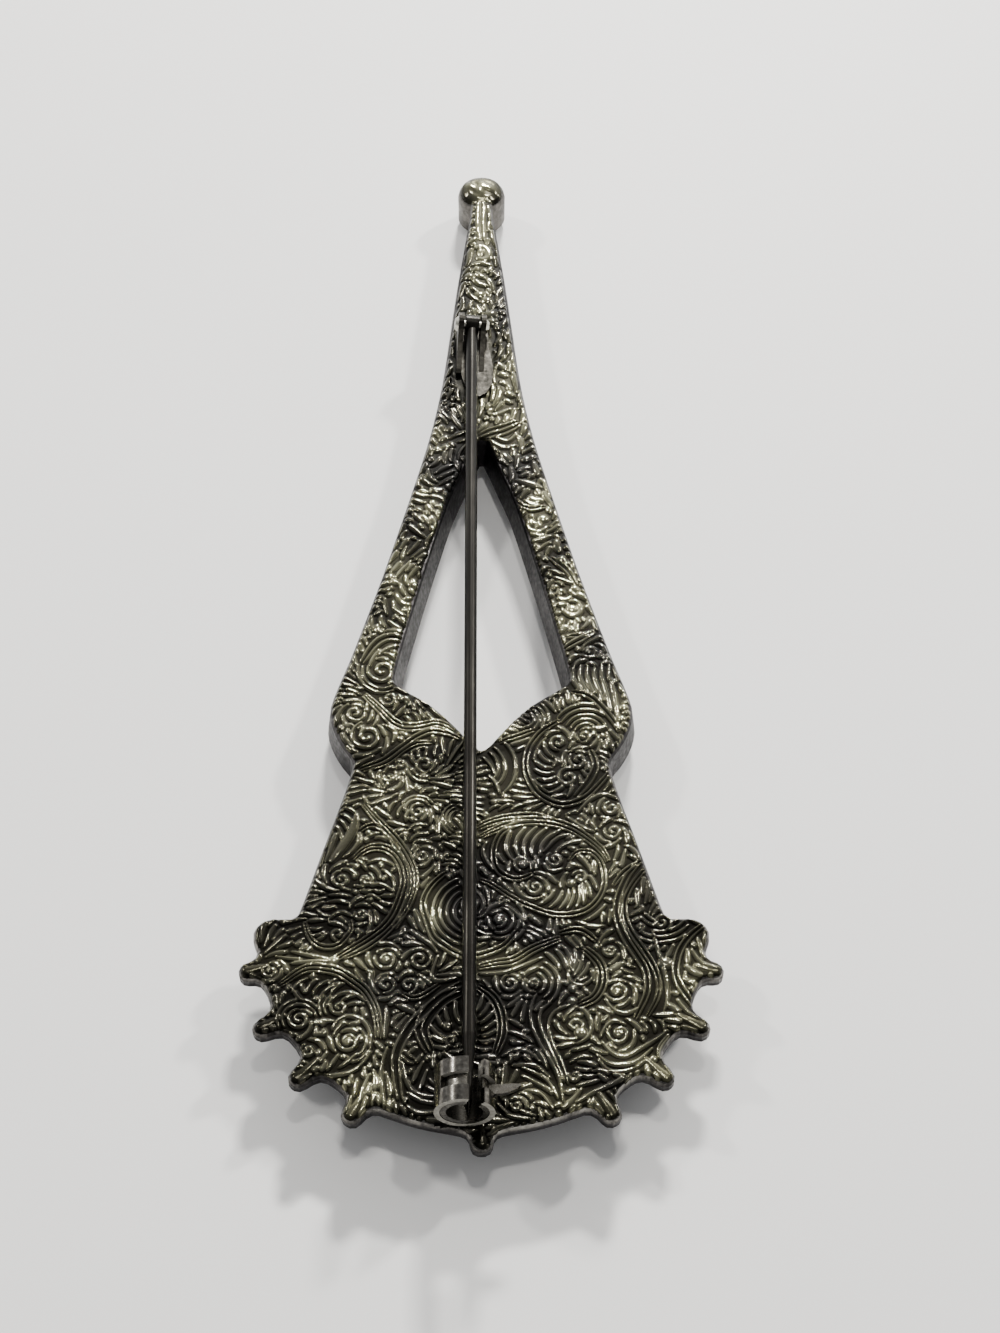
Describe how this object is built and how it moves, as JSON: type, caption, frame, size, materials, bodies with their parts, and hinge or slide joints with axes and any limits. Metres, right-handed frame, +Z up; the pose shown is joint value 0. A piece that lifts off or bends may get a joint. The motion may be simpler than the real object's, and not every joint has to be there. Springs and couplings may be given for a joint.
{
  "type": "brooch",
  "caption": "Long antiqued metal brooch, face down: round cup, neck that forks round a triangular gap, clawed crystal fan; its back has a hinged pin and a turning safety catch.",
  "frame": {"origin": "middle of the brooch's length and width, on the surface that the crystals' tables rest on", "axes": "+Z up out of the brooch's back, +Y along its length to the round cup, +X to the right as the picture shows it"},
  "size_m": [0.0382, 0.1112, 0.0092],
  "materials": {
    "antiqued_metal": "antiqued grey cast metal, dark in the recesses and rubbed bright on the ridges",
    "pin_metal": "dull grey plated steel",
    "crystal": "clear cut crystal, polished",
    "pave": "bed of small clear stones, polished"
  },
  "bodies": {
    "brooch": {"casting": "antiqued_metal", "hinge_rivet": "pin_metal", "cup_crystal": "crystal", "pave": "pave", "rim_crystal_01": "crystal", "rim_crystal_02": "crystal", "rim_crystal_03": "crystal", "rim_crystal_04": "crystal", "rim_crystal_05": "crystal", "rim_crystal_06": "crystal", "rim_crystal_07": "crystal", "rim_crystal_08": "crystal", "rim_crystal_09": "crystal", "rim_crystal_10": "crystal"},
    "pin": {"pin_stem": "pin_metal"},
    "catch": {"catch_rotor": "pin_metal"}
  },
  "joints": [
    {"name": "pin_swing", "type": "hinge", "parent": "brooch", "child": "pin", "pos_m": [-0.00095, 0.03085, 0.00605], "axis": [-0.9903, 0, 0.1392], "range_deg": [0, 110]},
    {"name": "catch_turn", "type": "hinge", "parent": "brooch", "child": "catch", "pos_m": [-0.00125, -0.052, 0.00695], "axis": [0, -1, 0], "range_deg": [0, 100]}
  ]
}
